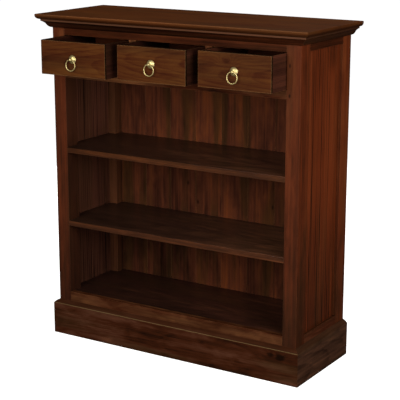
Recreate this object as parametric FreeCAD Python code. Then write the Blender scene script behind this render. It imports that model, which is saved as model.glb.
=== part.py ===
import FreeCAD, Part
import math
import os

from FreeCAD import Vector

# A low bookcase in solid wood: two open shelves over a moulded plinth, and three drawers
# side by side under a moulded top. Millimetres. +X is to the right of someone who faces
# the front, -Y points towards them, +Z is up, and z = 0 is the floor.

# Case
case_width = 1000.0
case_depth = 360.0
total_height = 1195.0
post_width = 52.0
post_depth = 60.0
rail_thickness = 22.0
arris = 0.8

# Top board and the cornice moulding under it
top_thickness = 19.0
top_overhang = 45.0
top_upper_round = 3.0
top_lower_round = 14.0
cornice_setback = 0.5
cornice_fillet = 6.0
cornice_hollow = (15.0, 13.0)
cornice_swell = (12.0, 10.5)
cornice_bow = 1.8
top_rail_height = 54.0

# Plinth
plinth_height = 130.0
plinth_thickness = 17.0
plinth_bevel = 13.0
plinth_bulge = 1.5
plinth_block = 60.0
plinth_block_lift = 15.0
rail_behind_plinth = 30.0
bottom_rail_show = 35.0

# Shelves and what carries them
shelf_thickness = 20.0
shelf_names = ("lower", "upper")
shelf_round = 2.0
cleat_width = 18.0
cleat_height = 15.0

# Side frames and their boarded panels
side_rail_thickness = 18.0
side_rail_step = 5.0
panel_thickness = 8.0
panel_groove = 10.0
panel_gap = 1.0
panel_board = 92.0

# Boarded back
back_inset = 8.0
back_thickness = 12.0
back_groove = 8.0
back_board = 112.0
board_least = 20.0
board_chamfer = 1.0

# Joints in the frame
tenon_length = 25.0
tenon_thickness = 8.0
tenon_shoulder = 7.0
divider_tenon = 10.0

# Drawer compartment
drawer_rail_height = 30.0
drawer_rail_depth = 45.0
drawer_opening_height = 122.0
divider_width = 28.0
runner_ledge = 26.0
guide_height = 22.0
guide_clearance = 0.6
guide_width = 20.0
kicker_height = 28.0
stop_width = 40.0
stop_height = 30.0
stop_clearance = 0.4

# Drawers
drawer_names = ("left", "middle", "right")
drawer_pulled_out = {"left": 136.0, "middle": 114.0, "right": 94.0}
drawer_rear_gap = 6.0
drawer_side_gap = 3.0
drawer_top_gap = 2.5
drawer_run_clearance = 0.5
front_thickness = 20.0
front_round = 2.0
front_lap = 8.0
drawer_side_thickness = 12.0
drawer_back_drop = 8.0
drawer_bottom_thickness = 6.0
drawer_bottom_lift = 10.0
drawer_bottom_groove = 5.0

# Ring pulls, fitted by hand at slightly different heights
pull_lift = {"left": 0.0, "middle": 4.0, "right": 1.0}
rosette_radius = 14.5
rosette_rim = 1.2
rosette_height = 8.2
neck_radius = 3.0
ball_radius = 5.0
ball_standoff = 12.5
ring_radius = 19.0
ring_wire = 1.75
ring_drop = 1.0
ring_cheek_gap = 0.6
ring_clearance = 0.08
pull_screw_radius = 2.0
pull_screw_bite = 6.0
pull_head_radius = 4.0
pull_head_height = 3.0
pull_head_round = 0.4
pull_hole_clearance = 0.2
thread_clearance = 0.05

# Screws that hold the top
top_screw_radius = 2.25
top_screw_bite = 12.0
top_screw_head = 4.2
top_screw_cover = 28.0
top_screw_bore = 4.8
top_screw_edge = 7.5

# Screws that hold the back boards
back_screw_radius = 1.75
back_screw_bite = 9.0
back_screw_head = 3.4

# Levels and planes that follow from the sizes
half_width = case_width / 2
inner_half = half_width - post_width
top_under = total_height - top_thickness
opening_top = top_under - top_rail_height
opening_bottom = opening_top - drawer_opening_height
drawer_rail_under = opening_bottom - drawer_rail_height
rails_bottom = plinth_height - rail_behind_plinth
shelf_floor = plinth_height + bottom_rail_show
shelf_count = len(shelf_names)
bay_height = (drawer_rail_under - shelf_floor - shelf_count * shelf_thickness) / (shelf_count + 1)

pull_reach = ball_standoff + ball_radius
footprint_depth = case_depth + max(drawer_pulled_out.values()) + pull_reach
back = footprint_depth / 2
front = back - case_depth
back_face = back - back_inset - back_thickness
rear_rail_front = back_face - rail_thickness
drawer_length = rear_rail_front - front - drawer_rear_gap
post_rear_of_front = front + post_depth
post_front_of_rear = back - post_depth

panel_inner = half_width - side_rail_thickness
panel_outer = panel_inner + panel_thickness
side_opening_bottom = shelf_floor - side_rail_step

bay_count = len(drawer_names)
bay_width = (2 * inner_half - (bay_count - 1) * divider_width) / bay_count
bay_pitch = bay_width + divider_width
bay_centres = [(i - (bay_count - 1) / 2) * bay_pitch for i in range(bay_count)]
divider_centres = [(a + b) / 2 for a, b in zip(bay_centres, bay_centres[1:])]


def box(x0, x1, y0, y1, z0, z1):
    return Part.makeBox(x1 - x0, y1 - y0, z1 - z0, Vector(x0, y0, z0))


def straight_edges(solid, axis, test):
    """The straight edges of a solid that run along an axis and whose middle passes a test."""
    found = []
    for edge in solid.Edges:
        run = edge.Vertexes[-1].Point - edge.Vertexes[0].Point
        if run.Length > 1e-6 and abs(run.dot(axis)) > 0.9999 * run.Length:
            if test(edge.CenterOfMass):
                found.append(edge)
    return found


X, Y, Z = Vector(1, 0, 0), Vector(0, 1, 0), Vector(0, 0, 1)


def near(a, b):
    return abs(a - b) < 1e-4


def rounded(solid, radius, axis, test):
    return solid.makeFillet(radius, straight_edges(solid, axis, test))


def rail_on_front(x0, x1, y0, y1, z0, z1):
    """A bar along X with its front arrises eased."""
    return rounded(box(x0, x1, y0, y1, z0, z1), arris, X, lambda p: near(p.y, y0))


def tenons(x0, x1, y0, y1, z0, z1, axis, length):
    """The two tenons of a bar that runs along an axis, one beyond each of its ends."""
    low, high = [x0, y0, z0], [x1, y1, z1]
    run = (X, Y, Z).index(axis)
    thin = min((i for i in range(3) if i != run), key=lambda i: high[i] - low[i])
    wide = 3 - run - thin
    middle = (low[thin] + high[thin]) / 2
    pieces = []
    for start in (low[run] - length, high[run]):
        a, b = list(low), list(high)
        a[run], b[run] = start, start + length
        a[thin], b[thin] = middle - tenon_thickness / 2, middle + tenon_thickness / 2
        a[wide], b[wide] = low[wide] + tenon_shoulder, high[wide] - tenon_shoulder
        pieces.append(box(a[0], b[0], a[1], b[1], a[2], b[2]))
    return pieces


def fuse(first, others):
    whole = first
    for other in others:
        whole = whole.fuse(other)
    return whole.removeSplitter()


def face_of(start, steps, place):
    """A flat face whose outline starts at a point and follows lines, or arcs given as (middle, end)."""
    edges, here = [], start
    for step in list(steps) + [start]:
        if isinstance(step[0], tuple):
            middle, there = step
            edges.append(Part.Arc(place(*here), place(*middle), place(*there)).toShape())
        else:
            there = step
            edges.append(Part.LineSegment(place(*here), place(*there)).toShape())
        here = there
    return Part.Face(Part.Wire(edges))


def on_circle(centre, radius, degrees):
    angle = math.radians(degrees)
    return (centre[0] + radius * math.cos(angle), centre[1] + radius * math.sin(angle))


def nosing(reach):
    """The moulded edge of the top, from its underside to its upper face."""
    low = (reach - top_lower_round, top_under + top_lower_round)
    high = (reach - top_upper_round, total_height - top_upper_round)
    return [
        (low[0], top_under),
        (on_circle(low, top_lower_round, -45), (reach, low[1])),
        (reach, high[1]),
        (on_circle(high, top_upper_round, 45), (high[0], total_height)),
    ]


def top_board():
    """The nosing runs along the front and both ends, and the back edge is square."""
    reach, depth = half_width + top_overhang, case_depth + top_overhang
    start, close = (0, top_under), [(0, total_height)]
    end = face_of(start, nosing(reach) + close, lambda u, z: Vector(u, back - depth, z))
    half = end.extrude(Y * depth)
    across = half.fuse(half.mirror(Vector(0, 0, 0), X)).removeSplitter()
    edge = face_of(start, nosing(depth) + close, lambda u, z: Vector(-reach, back - u, z))
    return across.common(edge.extrude(X * 2 * reach)).cut(top_screws(thread_clearance))


def prism(corners):
    """An upright prism over a plan, as tall as the whole bookcase."""
    plan = Part.Face(Part.Wire(Part.makePolygon([Vector(x, y, 0) for x, y in corners + corners[:1]])))
    return plan.extrude(Z * total_height)


def mouldings(start, steps, reach):
    """The front, left and right runs of a moulding that stands out from the case, mitred together."""
    side, end = half_width + reach, front - reach
    front_face = face_of(start, steps, lambda u, z: Vector(-side, front - u, z))
    right_face = face_of(start, steps, lambda u, z: Vector(half_width + u, end, z))
    front_run = front_face.extrude(X * 2 * side)
    right_run = right_face.extrude(Y * (back - end))
    front_run = front_run.common(
        prism([(-half_width, front), (half_width, front), (side, end), (-side, end)])
    )
    right_run = right_run.common(prism([(half_width, back), (half_width, front), (side, end), (side, back)]))
    return {"front": front_run, "left": right_run.mirror(Vector(0, 0, 0), X), "right": right_run}


def bowed(a, b, rise):
    """The middle of an arc from a to b that leaves the straight line by rise, to the left of the way."""
    across, up = b[0] - a[0], b[1] - a[1]
    length = math.hypot(across, up)
    return (
        (a[0] + b[0]) / 2 - rise * up / length,
        (a[1] + b[1]) / 2 + rise * across / length,
    )


def cornice():
    """A fillet, a shallow hollow and a shallow swell, from under the nosing down to the case."""
    reach = top_overhang - top_lower_round - cornice_setback
    upper = (reach, top_under - cornice_fillet)
    middle = (upper[0] - cornice_hollow[0], upper[1] - cornice_hollow[1])
    lower = (middle[0] - cornice_swell[0], middle[1] - cornice_swell[1])
    steps = [
        (reach, top_under),
        upper,
        (bowed(upper, middle, -cornice_bow), middle),
        (bowed(middle, lower, cornice_bow), lower),
        (0, lower[1]),
    ]
    return mouldings((0, top_under), steps, reach)


def plinth():
    """Boards planted on the feet of the posts, with a gently rounded bevel along the top."""
    shoulder = plinth_height - plinth_bevel
    slope = math.hypot(plinth_thickness, plinth_bevel)
    bulge = (
        plinth_thickness / 2 + plinth_bulge * plinth_bevel / slope,
        plinth_height - plinth_bevel / 2 + plinth_bulge * plinth_thickness / slope,
    )
    steps = [(plinth_thickness, 0), (plinth_thickness, shoulder), (bulge, (0, plinth_height))]
    return mouldings((0, 0), steps, plinth_thickness)


def plinth_blocks():
    """Glue blocks behind the plinth, under the rails that it is planted on."""
    half, y1 = plinth_block / 2, front + rail_thickness
    z0, z1 = plinth_block_lift, rails_bottom
    pieces = [box(x - half, x + half, front, y1, z0, z1) for x in divider_centres]
    middle = (front + back) / 2
    for x in (-half_width, panel_inner):
        pieces.append(
            box(x, x + side_rail_thickness, middle - half, middle + half, z0, rails_bottom)
        )
    return Part.makeCompound(pieces)


def board_joints(low, high, width):
    """Joints between boards, set out from the middle of a span."""
    middle = (low + high) / 2
    reach = int((high - middle - board_least) / width)
    return [middle + i * width for i in range(-reach, reach + 1)]


def boards(cuts, make, axis, faces):
    """Boards side by side between cuts along an axis, with chamfered arrises where they meet."""
    pieces = []
    across = 0 if axis == X else 1
    for a, b in zip(cuts, cuts[1:]):
        inner = [c for c in (a, b) if c not in (cuts[0], cuts[-1])]
        board = make(a, b)
        edges = [
            e
            for e in straight_edges(board, Z, lambda p: any(near(p[1 - across], f) for f in faces))
            if any(near(e.CenterOfMass[across], c) for c in inner)
        ]
        pieces.append(board.makeChamfer(board_chamfer, edges))
    return pieces


def back_board_edges():
    low = -inner_half - back_groove
    return [low] + board_joints(low, -low, back_board) + [-low]


def back_boards():
    def board(a, b):
        return box(a, b, back_face, back_face + back_thickness, rails_bottom, top_under)

    pieces = boards(back_board_edges(), board, X, (back_face, back_face + back_thickness))
    return [piece.cut(back_screws(thread_clearance)) for piece in pieces]


def side_panel_boards():
    """The right-hand panel: boards held in grooves in the posts and rebates in the rails."""
    low, high = post_rear_of_front - panel_groove, post_front_of_rear + panel_groove
    bottom, top = side_opening_bottom - panel_groove, opening_top + panel_groove
    cuts = [low] + board_joints(low, high, panel_board) + [high]

    def board(a, b):
        return box(panel_inner, panel_outer, a, b, bottom, top)

    return boards(cuts, board, Y, (panel_inner, panel_outer))


def panel_space():
    """What the panel needs in the frame round it, with room for the wood to move."""
    y0, y1 = post_rear_of_front - panel_groove, post_front_of_rear + panel_groove
    z0, z1 = side_opening_bottom - panel_groove, opening_top + panel_groove
    gap = panel_gap
    return box(panel_inner, panel_outer, y0 - gap, y1 + gap, z0 - gap, z1 + gap)


def side_rail(z0, z1, z_edge):
    """A right-hand side rail, rebated for the panel and tenoned into the posts."""
    size = (panel_inner, half_width, post_rear_of_front, post_front_of_rear, z0, z1)
    bar = rounded(box(*size), arris, Y, lambda p: near(p.x, half_width) and near(p.z, z_edge))
    return fuse(bar, tenons(*size, Y, tenon_length)).cut(panel_space())


def front_rail(z0, z1, depth):
    size = (-inner_half, inner_half, front, front + depth, z0, z1)
    return fuse(rail_on_front(*size), tenons(*size, X, tenon_length))


def rear_rail(z0, z1):
    size = (-inner_half, inner_half, rear_rail_front, back_face, z0, z1)
    return fuse(box(*size), tenons(*size, X, tenon_length)).cut(back_screws(thread_clearance))


def divider(centre):
    low, high = centre - divider_width / 2, centre + divider_width / 2
    size = (low, high, front, front + rail_thickness, opening_bottom, opening_top)
    post = rounded(box(*size), arris, Z, lambda p: near(p.y, front))
    return fuse(post, tenons(*size, Z, divider_tenon))


def screw(radius, length, head, spare, at, along):
    """A screw whose flat countersunk head lies at a point and whose shank runs along a direction."""
    cone = Part.makeCone(head + spare, radius + spare, head - radius, at, along)
    return cone.fuse(Part.makeCylinder(radius + spare, length, at, along)).removeSplitter()


def top_screw_places():
    """Where screws go up through the top rails: in front and behind over the middle of each drawer."""
    planes = (front + rail_thickness - top_screw_edge, rear_rail_front + top_screw_edge)
    return [(x, y) for x in bay_centres for y in planes]


def top_screws(spare=0.0):
    length = top_rail_height - top_screw_cover + top_screw_bite
    z = opening_top + top_screw_cover
    places = [Vector(x, y, z) for x, y in top_screw_places()]
    return Part.makeCompound([screw(top_screw_radius, length, top_screw_head, spare, p, Z) for p in places])


def bored_for_top_screws(rail):
    """A top rail with its screw holes and the counterbores that let the heads up into it."""
    bores = [
        Part.makeCylinder(top_screw_bore, top_screw_cover, Vector(x, y, opening_top), Z)
        for x, y in top_screw_places()
    ]
    return rail.cut(bores + top_screws(thread_clearance).Solids)


def back_screws(spare=0.0):
    """A screw through the middle of every back board into each of the rear rails."""
    cuts = back_board_edges()
    levels = [
        (opening_top + top_under) / 2,
        (drawer_rail_under + opening_bottom) / 2,
        (rails_bottom + shelf_floor - shelf_thickness) / 2,
    ]
    length = back_thickness + back_screw_bite
    y = back_face + back_thickness
    return Part.makeCompound(
        [
            screw(back_screw_radius, length, back_screw_head, spare, Vector((a + b) / 2, y, z), -Y)
            for a, b in zip(cuts, cuts[1:])
            for z in levels
        ]
    )


def post_blank(y0):
    """A right-hand post before its joints are cut, with its outer arrises eased."""
    blank = box(inner_half, half_width, y0, y0 + post_depth, 0, top_under)
    outer_y = front if near(y0, front) else back
    return rounded(blank, arris, Z, lambda p: near(p.y, outer_y) or near(p.x, half_width))


def frame():
    """The posts, rails, panels and back boards, with every joint cut from its own mating piece."""
    right_rails = {
        "top": side_rail(opening_top, top_under, opening_top),
        "bottom": side_rail(rails_bottom, side_opening_bottom, side_opening_bottom),
    }
    dividers = [divider(c) for c in divider_centres]
    front_rails = {
        "front_top_rail": bored_for_top_screws(front_rail(opening_top, top_under, rail_thickness)),
        "drawer_rail": front_rail(drawer_rail_under, opening_bottom, drawer_rail_depth).cut(dividers),
        "bottom_rail": front_rail(rails_bottom, shelf_floor, rail_thickness),
    }
    front_rails["front_top_rail"] = front_rails["front_top_rail"].cut(dividers)
    rear_rails = {
        "rear_top_rail": bored_for_top_screws(rear_rail(opening_top, top_under)),
        "rear_runner_rail": rear_rail(drawer_rail_under, opening_bottom),
        "rear_bottom_rail": rear_rail(rails_bottom, shelf_floor - shelf_thickness),
    }
    back_pieces = back_boards()
    cutters = {
        "front": list(front_rails.values()) + list(right_rails.values()) + [panel_space()],
        "rear": list(rear_rails.values()) + list(right_rails.values()) + [panel_space()] + back_pieces,
    }
    nodes = {}
    for end, y0 in (("front", front), ("rear", post_front_of_rear)):
        post = post_blank(y0).cut(cutters[end])
        nodes["post_%s_right" % end] = post
        nodes["post_%s_left" % end] = post.mirror(Vector(0, 0, 0), X)
    for level, rail in right_rails.items():
        nodes["side_%s_rail_right" % level] = rail
        nodes["side_%s_rail_left" % level] = rail.mirror(Vector(0, 0, 0), X)
    panel = Part.makeCompound(side_panel_boards())
    nodes["side_panel_right"] = panel
    nodes["side_panel_left"] = panel.mirror(Vector(0, 0, 0), X)
    nodes.update(front_rails)
    nodes.update(rear_rails)
    for name, piece in zip(("left", "right"), dividers):
        nodes["drawer_divider_" + name] = piece
    nodes["back_boards"] = Part.makeCompound(back_pieces)
    return nodes


def post_plan(z0, z1):
    """The four posts as plain boxes over a range of heights, for notching what runs between them."""
    plan = []
    for y0 in (front, post_front_of_rear):
        for x0 in (-half_width, inner_half):
            plan.append(box(x0, x0 + post_width, y0, y0 + post_depth, z0, z1))
    return plan


def shelf_underside(index):
    return shelf_floor + (index + 1) * bay_height + index * shelf_thickness


def shelf(z0, y0, radius):
    """A shelf notched round the posts, from the plane y0 back to the boards."""
    z1 = z0 + shelf_thickness
    board = box(-panel_inner, panel_inner, y0, back_face, z0, z1).cut(post_plan(z0, z1))
    if radius:
        board = rounded(board, radius, X, lambda p: near(p.y, y0))
    return board


def shelves():
    nodes = {}
    for index, name in enumerate(shelf_names):
        nodes[name + "_shelf"] = shelf(shelf_underside(index), front, shelf_round)
    nodes["bottom_shelf"] = shelf(shelf_floor - shelf_thickness, front + rail_thickness, 0)
    return nodes


def shelf_cleats():
    """Battens on the side frames under every shelf, and one behind the bottom rail."""
    unders = [shelf_underside(i) for i in range(shelf_count)] + [shelf_floor - shelf_thickness]
    pieces = []
    for z in unders:
        for x0 in (-panel_inner, panel_inner - cleat_width):
            pieces.append(
                box(x0, x0 + cleat_width, post_rear_of_front, post_front_of_rear, z - cleat_height, z)
            )
    y0 = front + rail_thickness
    z = shelf_floor - shelf_thickness
    pieces.append(box(-inner_half, inner_half, y0, y0 + cleat_width, z - cleat_height, z))
    return Part.makeCompound(pieces)


def bar_spans():
    """Where runners and kickers lie in X: against each side frame and behind each divider."""
    spans = [(-panel_inner, -inner_half + runner_ledge)]
    for centre in divider_centres:
        reach = divider_width / 2 + runner_ledge
        spans.append((centre - reach, centre + reach))
    spans.append((inner_half - runner_ledge, panel_inner))
    return spans


def drawer_runners():
    """Bars that the drawer sides slide on, and the guides that keep the drawers straight."""
    y1 = rear_rail_front
    z0, z1 = drawer_rail_under, opening_bottom
    pieces = [
        box(a, b, front + drawer_rail_depth, y1, z0, z1).cut(post_plan(z0, z1)) for a, b in bar_spans()
    ]
    slack = drawer_side_gap - guide_clearance
    top = z1 + guide_height
    edge = inner_half - slack
    for x0 in (-edge - guide_width, edge):
        pieces.append(box(x0, x0 + guide_width, post_rear_of_front, post_front_of_rear, z1, top))
    for centre in divider_centres:
        reach = divider_width / 2 + slack
        pieces.append(box(centre - reach, centre + reach, front + rail_thickness, y1, z1, top))
    return Part.makeCompound(pieces)


def drawer_kickers():
    """Bars over the drawer sides that stop an open drawer from tipping."""
    z0, z1 = opening_top, opening_top + kicker_height
    return Part.makeCompound(
        [
            box(a, b, front + rail_thickness, rear_rail_front, z0, z1).cut(post_plan(z0, z1))
            for a, b in bar_spans()
        ]
    )


def drawer_stops():
    """Blocks on the rear runner rail that a closed drawer meets."""
    half, y0 = stop_width / 2, front + drawer_length + stop_clearance
    z0, z1 = opening_bottom, opening_bottom + stop_height
    return Part.makeCompound([box(c - half, c + half, y0, back_face, z0, z1) for c in bay_centres])


def drawer_box(centre, out, at):
    """A drawer's front, sides, back and bottom, pulled out by a distance and bored for its pull."""
    width = bay_width - 2 * drawer_side_gap
    x0, x1 = centre - width / 2, centre + width / 2
    y0, y1 = front - out, front - out + drawer_length
    z0, z1 = opening_bottom + drawer_run_clearance, opening_top - drawer_top_gap
    inner_x0, inner_x1 = x0 + drawer_side_thickness, x1 - drawer_side_thickness
    y_rear = y0 + front_thickness
    floor_z = z0 + drawer_bottom_lift

    panel = box(x0, x1, y0, y_rear, z0, z1)
    panel = rounded(panel, front_round, X, lambda p: near(p.y, y0))
    panel = rounded(panel, front_round, Z, lambda p: near(p.y, y0))
    sides = [
        box(x, x + drawer_side_thickness, y0 + front_lap, y1, z0, z1)
        for x in (x0, x1 - drawer_side_thickness)
    ]
    groove = drawer_bottom_groove
    floor_top = floor_z + drawer_bottom_thickness
    bottom = box(inner_x0 - groove, inner_x1 + groove, y_rear - groove, y1, floor_z, floor_top)
    rear = box(inner_x0, inner_x1, y1 - drawer_side_thickness, y1, floor_top, z1 - drawer_back_drop)
    hole = Part.makeCylinder(pull_screw_radius + pull_hole_clearance, front_thickness, at, Y)
    return {
        "front": panel.cut(sides + [bottom, hole]),
        "side_left": sides[0].cut(bottom),
        "side_right": sides[1].cut(bottom),
        "back": rear,
        "bottom": bottom,
    }


def rosette():
    """A turned dome with a necked ball, bored across for the ring and up its axis for the screw."""
    rise = rosette_height - rosette_rim
    curve = (rosette_radius**2 + rise**2) / (2 * rise)

    def height(r):
        return rosette_height - curve + math.sqrt(curve**2 - r**2)

    middle = (rosette_radius + neck_radius) / 2
    steps = [
        (rosette_radius, 0),
        (rosette_radius, rosette_rim),
        ((middle, height(middle)), (neck_radius, height(neck_radius))),
        (neck_radius, ball_standoff),
        (0, ball_standoff),
    ]
    stem = face_of((0, 0), steps, lambda r, d: Vector(r, -d, 0)).revolve(Vector(0, 0, 0), Y, 360)
    whole = stem.fuse(Part.makeSphere(ball_radius, Vector(0, -ball_standoff, 0))).removeSplitter()
    start = Vector(-ball_radius, -ball_standoff, -ring_drop)
    bar_hole = Part.makeCylinder(ring_wire + ring_clearance, 2 * ball_radius, start, X)
    screw_hole = Part.makeCylinder(pull_screw_radius + thread_clearance, pull_screw_bite, Vector(0, 0, 0), -Y)
    return whole.cut([bar_hole, screw_hole])


def ring():
    """A ring that hangs from a short straight bar, which turns in the ball's cross hole."""
    bar_half = math.sqrt(ball_radius**2 - ring_drop**2) + ring_cheek_gap
    opening = math.degrees(math.asin(bar_half / ring_radius))
    middle = Vector(0, 0, -math.sqrt(ring_radius**2 - bar_half**2))
    section = Part.Face(Part.Wire(Part.makeCircle(ring_wire, middle + Z * ring_radius, X)))
    section.rotate(middle, Y, opening)
    bow = section.revolve(middle, Y, 360 - 2 * opening)
    bar = Part.makeCylinder(ring_wire, 2 * bar_half, -X * bar_half, X)
    knees = [Part.makeSphere(ring_wire, X * side * bar_half) for side in (-1, 1)]
    return fuse(bow, [bar] + knees)


def pull_screw():
    """A screw from inside the drawer, through the front and into the rosette."""
    seat = Y * front_thickness
    shank = Part.makeCylinder(pull_screw_radius, front_thickness + pull_screw_bite, seat, -Y)
    head = Part.makeCylinder(pull_head_radius, pull_head_height, seat, Y)
    rim = [edge for edge in head.Edges if near(edge.CenterOfMass.y, front_thickness + pull_head_height)]
    head = head.makeFillet(min(pull_head_height, pull_head_radius) * pull_head_round, rim)
    return shank.fuse(head).removeSplitter()


def drawer(name, centre):
    """A drawer with its pull, whose rosette is centred on a point of the front's outer face."""
    out = drawer_pulled_out[name]
    middle = (opening_bottom + drawer_run_clearance + opening_top - drawer_top_gap) / 2
    at = Vector(centre, front - out, middle + pull_lift[name])
    nodes = {"drawer_%s_%s" % (name, part): s for part, s in drawer_box(centre, out, at).items()}
    nodes["pull_rosette_" + name] = rosette().translated(at)
    nodes["pull_ring_" + name] = ring().translated(at - Y * ball_standoff - Z * ring_drop)
    nodes["pull_screw_" + name] = pull_screw().translated(at)
    return nodes


def assembly():
    nodes = {"top_board": top_board(), "top_screws": top_screws(), "back_screws": back_screws()}
    nodes.update({"cornice_" + side: piece for side, piece in cornice().items()})
    nodes.update({"plinth_" + side: piece for side, piece in plinth().items()})
    nodes["plinth_blocks"] = plinth_blocks()
    nodes.update(frame())
    nodes.update(shelves())
    nodes["shelf_cleats"] = shelf_cleats()
    nodes["drawer_runners"] = drawer_runners()
    nodes["drawer_kickers"] = drawer_kickers()
    nodes["drawer_stops"] = drawer_stops()
    for name, centre in zip(drawer_names, bay_centres):
        nodes.update(drawer(name, centre))
    return nodes


os.makedirs("parts", exist_ok=True)
for node, shape in assembly().items():
    shape.exportStep(os.path.join("parts", node + ".step"))
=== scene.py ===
import math

import bpy
from mathutils import Euler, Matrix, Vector


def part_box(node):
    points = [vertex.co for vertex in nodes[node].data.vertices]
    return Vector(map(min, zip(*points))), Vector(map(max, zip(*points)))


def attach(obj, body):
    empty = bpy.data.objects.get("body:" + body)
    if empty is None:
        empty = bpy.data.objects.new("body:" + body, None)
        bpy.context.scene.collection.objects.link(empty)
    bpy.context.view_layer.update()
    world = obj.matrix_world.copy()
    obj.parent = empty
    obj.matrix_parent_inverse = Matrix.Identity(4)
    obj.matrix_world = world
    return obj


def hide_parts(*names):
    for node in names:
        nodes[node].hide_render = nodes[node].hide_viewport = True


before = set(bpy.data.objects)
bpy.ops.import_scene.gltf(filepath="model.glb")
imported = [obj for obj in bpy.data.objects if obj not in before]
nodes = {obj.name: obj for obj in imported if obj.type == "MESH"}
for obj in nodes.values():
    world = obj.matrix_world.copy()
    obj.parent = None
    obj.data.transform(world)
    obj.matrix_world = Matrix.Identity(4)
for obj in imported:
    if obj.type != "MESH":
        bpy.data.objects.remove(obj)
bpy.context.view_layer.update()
print("frame loaded:", len(nodes), "nodes")

cameraSettings = {
    "place": (2.350, -3.643, 1.643),
    "turn": (75.92, 0.0, 32.20),   # degrees
    "lens": 113.6,
    "sensor": 36.0,
    "clip": (0.1, 100.0),
}


def addCamera(settings):
    data = bpy.data.cameras.new("viewCamera")
    data.lens = settings["lens"]
    data.sensor_width = settings["sensor"]
    data.clip_start, data.clip_end = settings["clip"]
    data.dof.use_dof = False
    camera = bpy.data.objects.new("viewCamera", data)
    camera.location = settings["place"]
    camera.rotation_euler = Euler([math.radians(a) for a in settings["turn"]])
    bpy.context.scene.collection.objects.link(camera)
    bpy.context.scene.camera = camera


addCamera(cameraSettings)
print("camera placed")


def linear(colour, share=1.0):   # 0 to 255 on screen, to the numbers that shaders use
    parts = [c * share / 255 for c in colour]
    return tuple(c / 12.92 if c <= 0.04045 else ((c + 0.055) / 1.055) ** 2.4 for c in parts) + (1.0,)


class Tree:
    # short ways to add nodes to a tree; a value is a socket or a plain number
    def __init__(self, tree):
        self.tree = tree

    def node(self, kind, inputs=None, **settings):
        made = self.tree.nodes.new(kind)
        for key, value in settings.items():
            setattr(made, key, value)
        for key, value in (inputs or {}).items():
            self.feed(made.inputs[key], value)
        return made

    def feed(self, socket, value):
        if isinstance(value, bpy.types.NodeSocket):
            self.tree.links.new(value, socket)
        elif value is not None:
            socket.default_value = value

    def math(self, operation, a, b=None, c=None):
        made = self.node("ShaderNodeMath", operation=operation)
        for socket, value in zip(made.inputs, (a, b, c)):
            self.feed(socket, value)
        return made.outputs[0]

    def vector(self, operation, a, b=None):
        made = self.node("ShaderNodeVectorMath", operation=operation)
        for socket, value in zip(made.inputs, (a, b)):
            self.feed(socket, value)
        return made.outputs["Value" if operation in ("LENGTH", "DOT_PRODUCT") else "Vector"]

    def scaled(self, vector, factor):
        made = self.node("ShaderNodeVectorMath", {0: vector, "Scale": factor}, operation="SCALE")
        return made.outputs[0]

    def join(self, x, y, z):
        return self.node("ShaderNodeCombineXYZ", {"X": x, "Y": y, "Z": z}).outputs[0]

    def noise(self, where, detail, roughness, seed, output="Fac"):
        made = self.node(
            "ShaderNodeTexNoise",
            {"Vector": where, "W": seed, "Scale": 1.0, "Detail": detail, "Roughness": roughness},
            noise_dimensions="4D",
        )
        return made.outputs[output]

    def mix(self, share, a, b, blend="MIX"):
        made = self.node("ShaderNodeMix", data_type="RGBA", blend_type=blend, clamp_factor=True)
        for key, value in (("Factor", share), (6, a), (7, b)):   # 6 and 7 are the two colours
            self.feed(made.inputs[key], value)
        return made.outputs[2]

    def span(self, value, low, high, toLow=0.0, toHigh=1.0, smooth=False):
        made = self.node(
            "ShaderNodeMapRange",
            {"Value": value, "From Min": low, "From Max": high, "To Min": toLow, "To Max": toHigh},
            interpolation_type="SMOOTHSTEP" if smooth else "LINEAR",
        )
        return made.outputs["Result"]

    def ramp(self, value, stops):
        made = self.node("ShaderNodeValToRGB", {"Fac": value})
        elements = made.color_ramp.elements
        while len(elements) < len(stops):
            elements.new(0.5)
        for element, (position, colour) in zip(elements, stops):
            element.position = position
            element.color = colour
        return made.outputs["Color"]


# wood grain, shared by every board
grainNoises = {
    # changes for each metre along, across and through the board; detail; roughness; step of the seed
    "drift": ((1.3, 7.0, 7.0), 2.0, 0.5, 0.0),
    "uneven": ((1.0, 30.0, 30.0), 1.0, 0.5, 0.0),
    "streaks": ((1.6, 95.0, 95.0), 4.0, 0.62, 0.0),
    "pores": ((34.0, 950.0, 950.0), 2.0, 0.5, 0.0),
    "blotch": ((2.4, 9.0, 9.0), 3.0, 0.55, 0.0),
    "hue": ((1.7, 22.0, 22.0), 2.0, 0.5, 5.5),
    "lines": ((0.7, 75.0, 75.0), 2.0, 0.6, 2.5),
    "swirl": ((9.0, 22.0, 22.0), 1.0, 0.5, 8.5),
}
grainShape = {
    "unevenRings": 1.6,         # how far the rings stray, in rings
    "ringRise": 2.5,            # the higher, the thinner the dark line of a ring
    "ringFall": 0.9,            # the share of a ring where its dark line ends
    "poreSpan": (0.56, 0.70),
    "lineSpan": (0.52, 0.64),
    "figureScale": (7.0, 36.0, 36.0), "figureDetail": 2.0, "figureRoughness": 0.55, "figureSwirl": 2.0,
}


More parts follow.
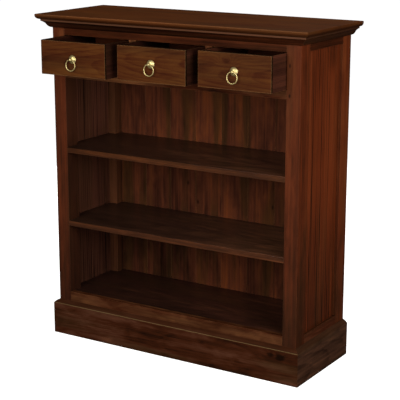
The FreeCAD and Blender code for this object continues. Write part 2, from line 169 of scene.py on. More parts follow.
def grainGroup(shape):
    # Place runs along the grain in x, across the board in y and through it in z, in metres
    group = bpy.data.node_groups.new("boardGrain", "ShaderNodeTree")
    face = group.interface
    face.new_socket("Place", in_out="INPUT", socket_type="NodeSocketVector")
    for name in ("Seed", "Ring Pitch", "Pith Across", "Pith Depth", "Taper", "Wander", "Push", "Fineness"):
        face.new_socket(name, in_out="INPUT", socket_type="NodeSocketFloat")
    for name in ("Rings", "Streaks", "Pores", "Blotch", "Hue", "Lines", "Figure"):
        face.new_socket(name, in_out="OUTPUT", socket_type="NodeSocketFloat")
    t = Tree(group)
    given = t.node("NodeGroupInput").outputs
    place, seed = given["Place"], given["Seed"]

    def pattern(name, spot, output="Fac"):
        scale, detail, roughness, step = grainNoises[name]
        return t.noise(t.vector("MULTIPLY", spot, scale), detail, roughness, t.math("ADD", seed, step), output)

    drift = t.vector("SUBTRACT", pattern("drift", place, "Color"), (0.5, 0.5, 0.5))
    drift = t.vector("MULTIPLY", drift, (0.0, 1.0, 1.0))
    bent = t.vector("ADD", place, t.scaled(drift, given["Wander"]))
    fine = t.scaled(bent, given["Fineness"])

    # rings round a pith that runs along the board
    part = t.node("ShaderNodeSeparateXYZ", {0: bent}).outputs
    across = t.math("SUBTRACT", part[1], given["Pith Across"])
    deep = t.math("SUBTRACT", part[2], given["Pith Depth"])
    deep = t.math("MULTIPLY_ADD", part[0], given["Taper"], deep)
    radius = t.math("SQRT", t.math("ADD", t.math("MULTIPLY", across, across), t.math("MULTIPLY", deep, deep)))
    radius = t.math("ADD", radius, given["Push"])
    phase = t.math("DIVIDE", radius, given["Ring Pitch"])
    phase = t.math("MULTIPLY_ADD", pattern("uneven", place), shape["unevenRings"], phase)
    saw = t.math("FRACT", phase)
    rise = t.math("POWER", saw, shape["ringRise"])
    fall = t.span(saw, shape["ringFall"], 1.0, 1.0, 0.0, True)

    swirl = t.scaled(pattern("swirl", place, "Color"), shape["figureSwirl"])
    swirl = t.vector("ADD", t.vector("MULTIPLY", bent, shape["figureScale"]), swirl)
    t.node("NodeGroupOutput", {
        "Rings": t.math("MULTIPLY", rise, fall),
        "Streaks": pattern("streaks", fine),
        "Pores": t.span(pattern("pores", bent), *shape["poreSpan"], smooth=True),
        "Blotch": pattern("blotch", bent),
        "Hue": pattern("hue", bent),
        "Lines": t.span(pattern("lines", fine), *shape["lineSpan"], smooth=True),
        "Figure": t.noise(swirl, shape["figureDetail"], shape["figureRoughness"], seed),
    })
    return group


boardGrain = grainGroup(grainShape)
print("grain made")

cuts = {
    # the axis along the grain, across the board and through it
    "upright": ("Z", "X", "Y"),
    "uprightSide": ("Z", "Y", "X"),
    "longFace": ("X", "Z", "Y"),
    "longFlat": ("X", "Y", "Z"),
    "deepFace": ("Y", "Z", "X"),
}

plainLook = {
    # four stains from dark to light, on screen from 0 to 255, and a greener one in patches
    "dark": (22, 9, 4), "low": (56, 24, 10), "mid": (82, 36, 16), "light": (110, 55, 25),
    "olive": (64, 42, 20), "oliveShare": 0.30,
    "base": 0.58,           # 0 is the dark stain and 1 the light one
    "seed": 1.0,
    "ringPitch": 0.0050, "pithAcross": 0.01, "pithDepth": -0.07, "taper": 0.03, "wander": 0.012, "fineness": 1.0,
    "streakDepth": 0.95, "blotchDepth": 0.75, "figureDepth": 0.0,
    "ringDepth": 0.16, "poreDepth": 0.16, "lineDepth": 0.0,
    "boardWidth": 0.0,      # for a panel that is several boards
    "boardDepth": 0.0,      # how much their tones differ
    "knots": (),            # place, reach, strength
    "roughness": 0.42, "roughnessSwing": 0.10, "sheenLevel": 0.014,
    "bumpStrength": 0.25, "bumpHeight": 0.0004, "poreBump": 0.5, "ringBump": 0.25,
    "edge": (128, 82, 50), "edgeShare": 0.45, "edgeReach": 0.0020,   # painted highlights along the rounded edges
    "edgeFacing": None,     # keeps them to edges that face this way
    "narrowShade": 0.0,     # darker on the narrow edges of a board: painted shade on the drawers' top edges and ends
    "endDark": 0.45,        # darker stain where the end grain shows
    "footShade": 0.0,       # painted shade, darker towards the floor
    "rightwardLight": 0.0,       # painted light and shade, lighter towards the right, for each metre
    "paintedLightBands": (),            # low z, high z, colour, share, the way it faces: bands of painted light and shade
    "frontLightTint": (1.0, 1.0, 1.0),   # for faces turned to the front: painted light, the front lamp's light and reflection on these faces
    "inside": (96, 60, 36), "insideShare": 0.0,   # the browner colour painted on faces turned to the middle: painted light and shade inside the case
    "insideUpperLight": 0.0,      # painted light, lighter in the upper bay
}
toneStops = {"dark": 0.0, "low": 0.35, "mid": 0.62, "light": 1.0}
stainAndShadeSpans = {
    # where each change of stain and of painted light and shade begins and ends
    "foot": (0.15, 0.75),       # height
    "upperBay": (0.68, 0.80),   # height
    "broad": (0.15, 0.85),      # this and the next four: how squarely a face looks that way
    "front": (0.4, 0.7),
    "bandFront": (0.2, 0.4),
    "endGrain": (0.4, 0.8),
    "edgeWay": (0.1, 0.35),
    "edgeTurn": (0.02, 0.22),   # how far the rounding of an edge turns its face
    "olive": (0.46, 0.64),
    "inside": (0.25, 0.85),     # the tones from the darkest painted inside colour to the full one
}
stainAndShadeShape = {
    "oliveDeep": 0.45,          # the darkest olive, as a share of the stain
    "insideDeep": 0.35,         # the darkest of the painted inside colour
    "insideOlive": 0.8,
    "insideReach": 0.486,       # the painted inside colour stops at the side panels
    "bandSoftness": 0.0004,
}
boardDraws = {"seed": 7.31, "along": 6.0, "across": 0.7}   # how differently the boards of a panel are sawn
knotShape = {"squash": 0.55, "push": 0.9, "span": (0.15, 0.75), "dark": 0.6}


def boardSplit(t, look, along, across):
    # each board of a panel has its own tone and its own stretch of grain
    width = look["boardWidth"]
    index = t.math("FLOOR", t.math("DIVIDE", across, width))
    chance = t.node(
        "ShaderNodeTexWhiteNoise", {"W": t.math("ADD", index, look["seed"] * boardDraws["seed"])},
        noise_dimensions="1D",
    )
    draws = t.node("ShaderNodeSeparateColor", {0: chance.outputs["Color"]}).outputs
    along = t.math("MULTIPLY_ADD", draws[1], boardDraws["along"], along)
    across = t.math("SUBTRACT", across, t.math("MULTIPLY", t.math("ADD", index, 0.5), width))
    across = t.math("MULTIPLY_ADD", t.math("SUBTRACT", draws[2], 0.5), width * boardDraws["across"], across)
    return along, across, draws[0]


def knotFields(t, knots, where, grainAxis):
    # how far the knots push the rings aside, and how dark they are
    squash = [knotShape["squash"] if axis == grainAxis else 1.0 for axis in "XYZ"]
    push, dark = 0.0, 0.0
    for place, reach, strength in knots:
        spot = t.vector("MULTIPLY", t.vector("SUBTRACT", where, place), squash)
        away = t.math("DIVIDE", t.vector("LENGTH", spot), reach)
        bell = t.math("EXPONENT", t.math("MULTIPLY", t.math("MULTIPLY", away, away), -1.0))
        push = t.math("MULTIPLY_ADD", bell, reach * knotShape["push"], push)
        dark = t.math("ADD", t.span(away, *knotShape["span"], strength, 0.0, True), dark)
    return push, dark


def woodTone(t, look, grain, axes, broad, boardTone, knotDark):
    # 0 is the dark stain and 1 the light one
    tone = look["base"]
    for name, depth in (("Streaks", "streakDepth"), ("Blotch", "blotchDepth"), ("Figure", "figureDepth")):
        if look[depth]:
            tone = t.math("MULTIPLY_ADD", t.math("SUBTRACT", grain[name], 0.5), look[depth], tone)
    for name, depth in (("Rings", "ringDepth"), ("Pores", "poreDepth"), ("Lines", "lineDepth")):
        if look[depth]:
            tone = t.math("MULTIPLY_ADD", grain[name], -look[depth], tone)
    if look["boardWidth"]:
        tone = t.math("MULTIPLY_ADD", t.math("SUBTRACT", boardTone, 0.5), look["boardDepth"], tone)
    if look["knots"]:
        tone = t.math("MULTIPLY_ADD", knotDark, -knotShape["dark"], tone)
    if look["rightwardLight"]:
        tone = t.math("MULTIPLY_ADD", t.math("MULTIPLY", axes["X"], broad), look["rightwardLight"], tone)
    return tone


def woodColour(t, look, hue, tone, insideTone, where, axes, flat, facing):
    colour = t.ramp(tone, [(stop, linear(look[name])) for name, stop in toneStops.items()])
    greenish = t.span(hue, *stainAndShadeSpans["olive"], 0.0, look["oliveShare"], True)
    olive = t.mix(tone, linear(look["olive"], stainAndShadeShape["oliveDeep"]), linear(look["olive"]))
    colour = t.mix(greenish, colour, olive)

    toFront = t.math("MULTIPLY", facing["Y"], -1.0)
    if look["frontLightTint"] != plainLook["frontLightTint"]:
        tinted = t.mix(1.0, colour, look["frontLightTint"] + (1.0,), "MULTIPLY")
        colour = t.mix(t.span(toFront, *stainAndShadeSpans["front"]), colour, tinted)
    soft = stainAndShadeShape["bandSoftness"]
    # each band lays painted shade or a painted highlight between two heights
    for low, high, shade, share, way in look["paintedLightBands"]:
        above = t.span(axes["Z"], low - soft, low + soft)
        below = t.span(axes["Z"], high - soft, high + soft, share, 0.0)
        inBand = t.math("MULTIPLY", above, below)
        if way == "front":
            inBand = t.math("MULTIPLY", inBand, t.span(toFront, *stainAndShadeSpans["bandFront"]))
        colour = t.mix(inBand, colour, linear(shade))

    if look["insideShare"]:
        inward = t.vector("DOT_PRODUCT", t.vector("MULTIPLY", where, (1.0, 1.0, 0.0)), flat)
        inward = t.math("LESS_THAN", inward, 0.0)
        between = t.math("LESS_THAN", t.math("ABSOLUTE", axes["X"]), stainAndShadeShape["insideReach"])
        lift = t.span(axes["Z"], *stainAndShadeSpans["upperBay"], 0.0, look["insideUpperLight"], True)
        browner = t.mix(
            t.span(t.math("ADD", insideTone, lift), *stainAndShadeSpans["inside"]),
            linear(look["inside"], stainAndShadeShape["insideDeep"]), linear(look["inside"]),
        )
        browner = t.mix(t.math("MULTIPLY", greenish, stainAndShadeShape["insideOlive"]), browner, olive)
        share = t.math("MULTIPLY", t.math("MULTIPLY", inward, between), look["insideShare"])
        colour = t.mix(share, colour, browner)
    return colour


def woodMaterial(name, cut, changes):
    look = dict(plainLook, **changes)
    material = bpy.data.materials.new(name)
    material.use_nodes = True
    material.node_tree.nodes.clear()
    t = Tree(material.node_tree)

    where = t.node("ShaderNodeTexCoord").outputs["Object"]
    axes = t.node("ShaderNodeSeparateXYZ", {0: where}).outputs
    flat = t.node("ShaderNodeNewGeometry").outputs["Normal"]
    facing = t.node("ShaderNodeSeparateXYZ", {0: flat}).outputs
    grainAxis, acrossAxis, throughAxis = cuts[cut]

    along, across, boardTone = axes[grainAxis], axes[acrossAxis], None
    if look["boardWidth"]:
        along, across, boardTone = boardSplit(t, look, along, across)
    push, knotDark = knotFields(t, look["knots"], where, grainAxis)
    grain = t.node("ShaderNodeGroup", {
        "Place": t.join(along, across, axes[throughAxis]), "Seed": look["seed"],
        "Ring Pitch": look["ringPitch"], "Pith Across": look["pithAcross"], "Pith Depth": look["pithDepth"],
        "Taper": look["taper"], "Wander": look["wander"], "Push": push, "Fineness": look["fineness"],
    }, node_tree=boardGrain).outputs

    broad = t.math("ABSOLUTE", facing[throughAxis])
    tone = insideTone = woodTone(t, look, grain, axes, broad, boardTone, knotDark)
    # painted shade that deepens towards the floor
    if look["footShade"]:
        foot = t.span(axes["Z"], *stainAndShadeSpans["foot"], -look["footShade"], 0.0, True)
        tone = t.math("ADD", tone, foot)
    # painted shade on the narrow faces of a board
    if look["narrowShade"]:
        narrow = t.span(broad, *stainAndShadeSpans["broad"], -look["narrowShade"], 0.0, True)
        tone = t.math("ADD", tone, narrow)
    colour = woodColour(t, look, grain["Hue"], tone, insideTone, where, axes, flat, facing)

    endGrain = t.math("ABSOLUTE", facing[grainAxis])
    endGrain = t.span(endGrain, *stainAndShadeSpans["endGrain"], 0.0, look["endDark"], True)
    colour = t.mix(endGrain, colour, linear(look["dark"]))

    # a painted highlight along the rounded edges, where the Bevel normal turns away from the face
    bevel = t.node("ShaderNodeBevel", {"Radius": look["edgeReach"]}, samples=4).outputs[0]
    turned = t.math("SUBTRACT", 1.0, t.vector("DOT_PRODUCT", bevel, flat))
    edge = t.span(turned, *stainAndShadeSpans["edgeTurn"], 0.0, look["edgeShare"], True)
    if look["edgeFacing"]:
        way = t.vector("DOT_PRODUCT", bevel, look["edgeFacing"])
        edge = t.math("MULTIPLY", edge, t.span(way, *stainAndShadeSpans["edgeWay"], smooth=True))
    colour = t.mix(edge, colour, linear(look["edge"]))

    height = t.math("MULTIPLY_ADD", grain["Pores"], -look["poreBump"], grain["Streaks"])
    height = t.math("MULTIPLY_ADD", grain["Rings"], -look["ringBump"], height)
    bump = t.node("ShaderNodeBump", {
        "Strength": look["bumpStrength"], "Distance": look["bumpHeight"], "Height": height,
    })
    rough = t.math("MULTIPLY_ADD", grain["Pores"], look["roughnessSwing"], look["roughness"])
    rough = t.math("MULTIPLY_ADD", t.math("SUBTRACT", grain["Blotch"], 0.5), look["roughnessSwing"], rough)
    shader = t.node("ShaderNodeBsdfPrincipled", {
        "Base Color": colour, "Roughness": rough, "Normal": bump.outputs[0],
        "Specular IOR Level": look["sheenLevel"],
    })
    t.node("ShaderNodeOutputMaterial", {"Surface": shader.outputs[0]})
    return material


def dress(material, *names):
    for name in names:
        slots = nodes[name].data.materials
        if not len(slots):
            slots.append(material)
        for i in range(len(slots)):
            slots[i] = material


def dressWood(materialName, cut, look, *names):
    dress(woodMaterial(materialName, cut, look), *names)


sides = ("left", "right")
drawers = ("left", "middle", "right")
runs = {"front": "longFace", "left": "deepFace", "right": "deepFace"}   # of the cornice and the plinth

topLook = {
    "seed": 84.2, "base": 0.60, "mid": (78, 41, 16), "light": (98, 55, 24),
    "streakDepth": 0.5, "blotchDepth": 0.4, "figureDepth": 0.1,
    "ringDepth": 0.06, "ringPitch": 0.009, "wander": 0.03,
    "sheenLevel": 0.006, "roughness": 0.55, "endDark": 0.2, "edgeShare": 0.0,
    "paintedLightBands": (   # painted shade under the rim, and a painted highlight, a thin light line along its front
        (1.1700, 1.1895, (60, 30, 12), 0.45, None),
        (1.1700, 1.1860, (34, 14, 5), 0.7, None),
        (1.1915, 1.1960, (150, 104, 70), 0.14, "front"),
    ),
}
dressWood("topWood", "longFlat", topLook, "top_board")

corniceLook = {
    "seed": 57.8, "base": 0.30, "mid": (66, 30, 12), "low": (40, 16, 6),
    "sheenLevel": 0.02, "edgeShare": 0.1,
}
filletHighlight = (1.1698, 1.1762, (118, 78, 54))   # low z, high z and colour of the painted highlight on the fillet step
# how strong the painted highlight is on each run
filletShine = {"front": 0.34, "left": 0.15, "right": 0.10}
for side, cut in runs.items():
    band = filletHighlight + (filletShine[side], None)
    dressWood("corniceWood_" + side, cut, dict(corniceLook, paintedLightBands=(band,)), "cornice_" + side)

plinthLook = {
    "seed": 154.7, "base": 0.43, "mid": (73, 40, 26), "light": (102, 58, 36), "oliveShare": 0.5,
    "frontLightTint": (0.96, 1.03, 1.04), "rightwardLight": -0.12,
    "streakDepth": 0.8, "figureDepth": 1.1, "blotchDepth": 0.9, "edgeShare": 0.0,
    "paintedLightBands": (   # painted shade on the rounded top, and a painted highlight, the light line under it
        (0.1190, 0.1310, (50, 27, 14), 0.6, None),
        (0.1165, 0.1185, (112, 96, 62), 0.45, "front"),
    ),
    "knots": (((0.4494, -0.1202, 0.0932), 0.019, 0.6), ((0.4122, -0.1202, 0.0971), 0.015, 0.45)),
}
plinthSideLook = dict(
    plinthLook, seed=17.7, rightwardLight=-0.07, mid=(92, 58, 38), low=(62, 38, 25), light=(108, 72, 48),
    figureDepth=0.5, blotchDepth=0.5, knots=(),
)
for side, cut in runs.items():
    dressWood("plinthWood_" + side, cut, plinthLook if side == "front" else plinthSideLook, "plinth_" + side)

frontPostLook = {
    "seed": 32.8, "base": 0.61, "mid": (84, 35, 15), "frontLightTint": (0.84, 0.99, 1.25),
    "streakDepth": 0.65, "blotchDepth": 0.6, "figureDepth": 0.5, "footShade": 0.19, "fineness": 1.1,
    "inside": (56, 30, 19), "insideShare": 0.9, "insideUpperLight": 0.40, "edgeShare": 0.3,
}
rearPostLook = dict(frontPostLook, base=0.76, lineDepth=0.25, inside=(84, 49, 30), insideUpperLight=0.0)
postKnots = {
    "front_left": (((-0.462, -0.1033, 1.125), 0.024, -0.6),),
    "front_right": (((0.4597, -0.1033, 1.0793), 0.007, 0.8), ((0.46, -0.1033, 0.982), 0.007, 0.8)),
}
for place, look in (("front", frontPostLook), ("rear", rearPostLook)):
    for side in sides:
        post = place + "_" + side
        dressWood("postWood_" + post, "upright", dict(look, knots=postKnots.get(post, ())), "post_" + post)

railLook = {
    "seed": 184.1, "base": 0.53, "mid": (80, 46, 26), "light": (120, 74, 40),
    "streakDepth": 0.8, "blotchDepth": 0.9, "figureDepth": 1.1,
}
topRailLook = {"seed": 47.9, "base": 0.38, "mid": (78, 38, 18), "figureDepth": 0.4}
# darker base on the side top rails: painted shadow of the cornice
sideTopRailLook = dict(frontPostLook, seed=19.1, base=0.33)
sideBottomRailLook = dict(frontPostLook, seed=19.1, base=0.70, mid=(84, 44, 26))
dressWood(
    "railWood", "longFace", railLook,
    "drawer_rail", "bottom_rail", "rear_bottom_rail", "rear_top_rail", "rear_runner_rail",
)
dressWood("topRailWood", "longFace", topRailLook, "front_top_rail")
dressWood("dividerWood", "upright", railLook, "drawer_divider_left", "drawer_divider_right")
for side in sides:
    dressWood("sideTopRailWood_" + side, "deepFace", sideTopRailLook, "side_top_rail_" + side)
    dressWood("sideRailWood_" + side, "deepFace", sideBottomRailLook, "side_bottom_rail_" + side)

panelLook = {
    "base": 0.65, "mid": (88, 36, 14), "light": (112, 52, 24), "boardWidth": 0.092, "boardDepth": 0.1,
    "inside": (86, 50, 36), "insideShare": 0.9, "insideUpperLight": 0.15,
    "streakDepth": 0.6, "blotchDepth": 0.5, "ringDepth": 0.0, "lineDepth": 0.5, "footShade": 0.2,
    "wander": 0.004, "fineness": 2.7, "edgeShare": 0.1, "knots": (((0.49, 0.14, 1.10), 0.07, 0.4),),
}
panelSeeds = {"left": 240.9, "right": 268.3}
for side in sides:
    dressWood("panelWood_" + side, "uprightSide", dict(panelLook, seed=panelSeeds[side]), "side_panel_" + side)

backLook = {
    "seed": 104.9, "base": 0.59, "mid": (83, 42, 25), "low": (56, 28, 18), "oliveShare": 0.7,
    "boardWidth": 0.112, "boardDepth": 0.2,
    "streakDepth": 0.75, "blotchDepth": 1.1, "figureDepth": 0.8, "ringDepth": 0.0, "lineDepth": 0.10,
    "footShade": 0.06, "fineness": 1.2,
    "knots": (
        ((0.2171, 0.2368, 0.5065), 0.009, 0.7),
        ((-0.1452, 0.2368, 0.5531), 0.009, 0.6),
        ((-0.1023, 0.2368, 0.4852), 0.009, 0.6),
    ),
}
dressWood("backWood", "upright", backLook, "back_boards")

shelfLook = {
    "seed": 37.4, "base": 0.40, "mid": (83, 51, 33), "low": (48, 29, 20), "dark": (20, 11, 8),
    # rightwardLight: painted shade on the left part of the shelves
    "streakDepth": 0.7, "blotchDepth": 0.5, "figureDepth": 0.4, "narrowShade": -0.03, "rightwardLight": 0.30,
    "sheenLevel": 0.18, "roughness": 0.30, "edgeShare": 0.2,
}
shelfOwn = {
    "upper": {"frontLightTint": (1.25, 0.92, 0.52)},
    "lower": {"frontLightTint": (1.04, 0.78, 0.50), "rightwardLight": 0.38},
    "bottom": {"seed": 23.7, "base": 0.30, "mid": (83, 46, 30), "low": (49, 26, 18), "rightwardLight": 0.15},
}
for shelf, own in shelfOwn.items():
    dressWood("shelfWood_" + shelf, "longFlat", dict(shelfLook, **own), shelf + "_shelf")

frontLook = {
    # dark, endDark and narrowShade darken the fronts' ends and edges: painted shade in the gaps between the
    # drawers, over the darker end grain
    "seed": 93.2, "base": 0.50, "dark": (12, 5, 2), "mid": (77, 43, 17), "light": (104, 61, 27),
    "streakDepth": 0.65, "blotchDepth": 0.7, "figureDepth": 0.35, "narrowShade": 0.5, "endDark": 0.95,
    "ringPitch": 0.0034, "ringDepth": 0.16, "pithDepth": -0.05,
    # painted highlight along the fronts' edges that face the front
    "edge": (150, 118, 76), "edgeShare": 0.65, "edgeFacing": (0.0, -1.0, 0.0), "edgeReach": 0.0045,
}
frontOwn = {
    "left": {"pithAcross": 1.045},
    "middle": {"pithAcross": 1.075},
    "right": {"pithAcross": 1.05, "knots": (((0.279, -0.1972, 1.0934), 0.016, 0.4),)},
}
# narrowShade darkens the boxes' top edges: painted shade
boxLook = {"seed": 12.0, "base": 0.44, "mid": (74, 39, 26), "low": (48, 24, 16), "narrowShade": 0.5}
# darker sides on the left and middle drawers: painted shadow of the neighbouring drawer
boxSideShadeBases = {"left": 0.28, "middle": 0.28, "right": 0.50}
boxInsideLook = dict(boxLook, base=0.8)
for drawer in drawers:
    piece = "drawer_" + drawer
    dressWood("drawerFrontWood_" + drawer, "longFace", dict(frontLook, **frontOwn[drawer]), piece + "_front")
    dressWood(
        "drawerSideWood_" + drawer, "deepFace", dict(boxLook, base=boxSideShadeBases[drawer]),
        piece + "_side_left", piece + "_side_right",
    )
    dressWood("drawerBackWood_" + drawer, "longFace", boxInsideLook, piece + "_back")
    dressWood("drawerBottomWood_" + drawer, "longFlat", boxInsideLook, piece + "_bottom")
dressWood(
    "innerWood", "deepFace", boxLook,
    "drawer_runners", "drawer_kickers", "drawer_stops", "shelf_cleats", "plinth_blocks",
)

metalLooks = {
    "polishedBrass": {"colour": (218, 200, 140), "tarnish": (184, 160, 98), "roughness": 0.50, "bump": 0.10},
    "dullSteel": {"colour": (150, 146, 138), "tarnish": (110, 104, 96), "roughness": 0.42, "bump": 0.15},
}
metalShape = {
    # clouds and scratches: changes for each metre, detail, roughness, seed
    "clouds": (160.0, 3.0, 0.6, 3.0), "scratches": (1500.0, 2.0, 0.5, 4.0),
    "tarnishSpan": (0.45, 0.75), "tarnishRoughness": 0.12, "bumpHeight": 0.0001,
}


def metalMaterial(name):
    look = metalLooks[name]
    material = bpy.data.materials.new(name)
    material.use_nodes = True
    material.node_tree.nodes.clear()
    t = Tree(material.node_tree)
    where = t.node("ShaderNodeTexCoord").outputs["Object"]

    def pattern(key):
        scale, detail, roughness, seed = metalShape[key]
        return t.noise(t.vector("MULTIPLY", where, (scale,) * 3), detail, roughness, seed)

    tarnish = t.span(pattern("clouds"), *metalShape["tarnishSpan"], smooth=True)
    bump = t.node("ShaderNodeBump", {
        "Strength": look["bump"], "Distance": metalShape["bumpHeight"], "Height": pattern("scratches"),
    })
    shader = t.node("ShaderNodeBsdfPrincipled", {
        "Base Color": t.mix(tarnish, linear(look["colour"]), linear(look["tarnish"])),
        "Metallic": 1.0,
        "Roughness": t.math("MULTIPLY_ADD", tarnish, metalShape["tarnishRoughness"], look["roughness"]),
        "Normal": bump.outputs[0],
    })
    t.node("ShaderNodeOutputMaterial", {"Surface": shader.outputs[0]})
    return material


brass = metalMaterial("polishedBrass")
steel = metalMaterial("dullSteel")
for drawer in drawers:
    dress(brass, "pull_rosette_" + drawer, "pull_ring_" + drawer)
print("finishes laid on")

# cross-head screws, in the places of the plain ones
screwSettings = {
    # across: the two axes along the heads; face: the axis they look along, and which way; sizes in metres
    "back_screws": {
        "across": (0, 2), "face": (1, 1), "Aim": (-math.pi / 2, 0.0, 0.0), "Seed": 3,
        "Head Top": 0.0034, "Head Base": 0.00175, "Head Depth": 0.00165, "Shank Radius": 0.00175,
    },
    "top_screws": {
        "across": (0, 1), "face": (2, -1), "Aim": (math.pi, 0.0, 0.0), "Seed": 5,
        "Head Top": 0.0042, "Head Base": 0.00225, "Head Depth": 0.00195, "Shank Radius": 0.00225,
    },
    "pull_screw": {
        "across": (0, 2), "face": (1, 1), "Aim": (-math.pi / 2, 0.0, 0.0), "Seed": 7,
        "Head Top": 0.0033, "Head Base": 0.0040, "Head Depth": 0.0030, "Shank Radius": 0.0020,
    },
}
slotShape = {"Slot Width": 0.0009, "Slot Depth": 0.0012}
screwSides = {"head": 32, "shank": 16}
slotReach = 1.25     # length of a slot, in radii of the head
oneScrew = 0.012     # vertices nearer to each other than this belong to one screw


def screwTree():
    # the head's flat lies at each point and faces local z; the shank runs down from it
    tree = bpy.data.node_groups.new("crossScrews", "GeometryNodeTree")
    face = tree.interface
    face.new_socket("Geometry", in_out="INPUT", socket_type="NodeSocketGeometry")
    for name in ("Head Top", "Head Base", "Head Depth", "Shank Radius", "Length", "Slot Width", "Slot Depth"):
        face.new_socket(name, in_out="INPUT", socket_type="NodeSocketFloat")
    face.new_socket("Aim", in_out="INPUT", socket_type="NodeSocketVector")
    face.new_socket("Seed", in_out="INPUT", socket_type="NodeSocketInt")
    face.new_socket("Metal", in_out="INPUT", socket_type="NodeSocketMaterial")
    face.new_socket("Geometry", in_out="OUTPUT", socket_type="NodeSocketGeometry")
    t = Tree(tree)
    given = t.node("NodeGroupInput").outputs

    def moved(mesh, z):
        return t.node("GeometryNodeTransform", {"Geometry": mesh, "Translation": t.join(0.0, 0.0, z)}).outputs[0]

    def slot(width, length):
        block = t.node("GeometryNodeMeshCube", {
            "Size": t.join(width, length, t.math("MULTIPLY", given["Slot Depth"], 2.0)),
        })
        return block.outputs["Mesh"]

    head = t.node("GeometryNodeMeshCone", {
        "Vertices": screwSides["head"], "Radius Top": given["Head Top"], "Radius Bottom": given["Head Base"],
        "Depth": given["Head Depth"],
    })
    shank = t.node("GeometryNodeMeshCylinder", {
        "Vertices": screwSides["shank"], "Radius": given["Shank Radius"], "Depth": given["Length"],
    })
    head = moved(head.outputs["Mesh"], t.math("MULTIPLY", given["Head Depth"], -1.0))
    half = t.math("MULTIPLY_ADD", given["Length"], -0.5, t.math("MULTIPLY", given["Head Depth"], -0.5))
    shank = moved(shank.outputs["Mesh"], half)
    whole = t.node("GeometryNodeMeshBoolean", operation="UNION")
    for part in (head, shank):
        t.feed(whole.inputs["Mesh 2"], part)
    cut = t.node("GeometryNodeMeshBoolean", {"Mesh 1": whole.outputs["Mesh"]}, operation="DIFFERENCE")
    reach = t.math("MULTIPLY", given["Head Top"], slotReach)
    for size in ((given["Slot Width"], reach), (reach, given["Slot Width"])):
        t.feed(cut.inputs["Mesh 2"], slot(*size))
    onPoints = t.node("GeometryNodeInstanceOnPoints", {
        "Points": given["Geometry"], "Instance": cut.outputs["Mesh"], "Rotation": given["Aim"],
    })
    chance = t.node("FunctionNodeRandomValue", {"Seed": given["Seed"]}, data_type="FLOAT")
    t.feed(chance.inputs[3], math.pi / 2)   # the largest turn of a slot
    spun = t.node("GeometryNodeRotateInstances", {
        "Instances": onPoints.outputs[0], "Rotation": t.join(0.0, 0.0, chance.outputs[1]), "Local Space": True,
    })
    real = t.node("GeometryNodeRealizeInstances", {"Geometry": spun.outputs[0]})
    finished = t.node("GeometryNodeSetMaterial", {"Geometry": real.outputs[0], "Material": given["Metal"]})
    t.node("NodeGroupOutput", {"Geometry": finished.outputs[0]})
    return tree


def grownMesh(name, points, tree, inputs):
    # runs the tree on bare points and keeps the result as a plain mesh
    seedMesh = bpy.data.meshes.new(name + "Points")
    seedMesh.from_pydata(points, [], [])
    carrier = bpy.data.objects.new(name + "Carrier", seedMesh)
    bpy.context.scene.collection.objects.link(carrier)
    modifier = carrier.modifiers.new("grow", "NODES")
    modifier.node_group = tree
    for socket in tree.interface.items_tree:
        if socket.in_out == "INPUT" and socket.name in inputs:
            modifier[socket.identifier] = inputs[socket.name]
    bpy.context.view_layer.update()
    evaluated = carrier.evaluated_get(bpy.context.evaluated_depsgraph_get())
    mesh = bpy.data.meshes.new_from_object(evaluated)
    mesh.name = name
    bpy.data.objects.remove(carrier)
    piece = bpy.data.objects.new(name, mesh)
    bpy.context.scene.collection.objects.link(piece)
    return piece


def screwPlaces(name, across, face):
    # the middle of each head, from the vertices of a node whose screws stand apart
    spots = []
    for vertex in nodes[name].data.vertices:
        for spot in spots:
            if all(abs(vertex.co[a] - spot[0][a]) < oneScrew for a in across):
                spot.append(vertex.co)
                break
        else:
            spots.append([vertex.co])
    places = []
    for spot in spots:
        place = [0.5 * (min(v[a] for v in spot) + max(v[a] for v in spot)) for a in range(3)]
        level = [v[face[0]] for v in spot]
        place[face[0]] = max(level) if face[1] > 0 else min(level)
        places.append(tuple(place))
    return places


def addScrews(node, body, settings, metal):
    low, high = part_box(node)
    axis = settings["face"][0]
    values = {key: value for key, value in settings.items() if key not in ("across", "face")}
    values.update(slotShape, Length=high[axis] - low[axis] - settings["Head Depth"], Metal=metal)
    places = screwPlaces(node, settings["across"], settings["face"])
    piece = grownMesh(node + "_crossed", places, crossScrews, values)
    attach(piece, body)
    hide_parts(node)
    print(node, len(places), "screws,", len(piece.data.polygons), "faces")


crossScrews = screwTree()
addScrews("back_screws", "carcass", screwSettings["back_screws"], steel)
addScrews("top_screws", "carcass", screwSettings["top_screws"], steel)
for drawer in drawers:
    addScrews("pull_screw_" + drawer, "drawer_" + drawer, screwSettings["pull_screw"], steel)

# floor and sky: pale to the camera, nearly black to glossy rays
stageSettings = {
    "floorReach": 40.0,
    "floorColour": (0.50, 0.50, 0.50, 1.0),
    "floorLift": 0.93,
    "glossShare": 0.14,
    "skyColour": (1.0, 1.0, 1.0, 1.0),
    "skyGlossShare": 0.03,
    "ambient": 0.24,
}


def backgroundShare(t, glossShare):
    path = t.node("ShaderNodeLightPath").outputs
    shown = t.math("ADD", path["Is Camera Ray"], path["Is Transmission Ray"])
    return t.math("MULTIPLY_ADD", path["Is Glossy Ray"], glossShare, shown), path


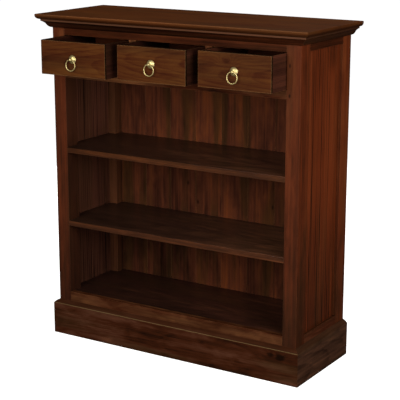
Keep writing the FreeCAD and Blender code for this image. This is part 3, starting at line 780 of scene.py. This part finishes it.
def addFloor(settings):
    reach = settings["floorReach"]
    mesh = bpy.data.meshes.new("studioFloor")
    mesh.from_pydata(
        [(-reach, -reach, 0), (reach, -reach, 0), (reach, reach, 0), (-reach, reach, 0)], [], [(0, 1, 2, 3)]
    )
    floor = bpy.data.objects.new("studioFloor", mesh)
    bpy.context.scene.collection.objects.link(floor)
    material = bpy.data.materials.new("studioPaper")
    material.use_nodes = True
    material.node_tree.nodes.clear()
    t = Tree(material.node_tree)
    share, path = backgroundShare(t, 0.0)
    paper = t.node("ShaderNodeBsdfDiffuse", {"Color": settings["floorColour"]})
    glow = t.node("ShaderNodeEmission", {"Strength": t.math("MULTIPLY", share, settings["floorLift"])})
    both = t.node("ShaderNodeAddShader", {0: paper.outputs[0], 1: glow.outputs[0]})
    dim = t.math("MULTIPLY", path["Is Glossy Ray"], 1.0 - settings["glossShare"])
    nothing = t.node("ShaderNodeEmission", {"Strength": 0.0})
    mixed = t.node("ShaderNodeMixShader", {0: dim, 1: both.outputs[0], 2: nothing.outputs[0]})
    t.node("ShaderNodeOutputMaterial", {"Surface": mixed.outputs[0]})
    mesh.materials.append(material)


def addSky(settings):
    world = bpy.data.worlds.new("studioSky")
    bpy.context.scene.world = world
    world.use_nodes = True
    world.node_tree.nodes.clear()
    t = Tree(world.node_tree)
    share, path = backgroundShare(t, settings["skyGlossShare"])
    strength = t.math("MULTIPLY_ADD", path["Is Diffuse Ray"], settings["ambient"], share)
    sky = t.node("ShaderNodeBackground", {"Color": settings["skyColour"], "Strength": strength})
    t.node("ShaderNodeOutputWorld", {"Surface": sky.outputs[0]})


lampSettings = {
    # place, aim, size, watts
    "frontLamp": ((0.0, -2.4, 1.55), (0.0, 0.0, 0.9), 1.4, 50.0),
    "sideLamp": ((2.4, -1.25, 1.40), (0.5, 0.0, 1.0), 1.5, 54.0),
    "topLamp": ((0.2, 1.4, 3.2), (0.0, 0.1, 1.2), 1.8, 46.0),
    "backLamp": ((-1.9, 2.5, 0.60), (0.0, 0.2, 0.6), 1.1, 55.0),   # low, so the top doesn't mirror it
}


def addLamps(settings):
    for name, (place, aim, size, watts) in settings.items():
        data = bpy.data.lights.new(name, "AREA")
        data.shape = "SQUARE"
        data.size = size
        data.energy = watts
        lamp = bpy.data.objects.new(name, data)
        lamp.location = place
        lamp.rotation_euler = (Vector(aim) - Vector(place)).to_track_quat("-Z", "Y").to_euler()
        bpy.context.scene.collection.objects.link(lamp)


addFloor(stageSettings)
addSky(stageSettings)
addLamps(lampSettings)
bpy.context.scene.view_settings.view_transform = "Standard"
print("stage lit")

bpy.context.view_layer.update()
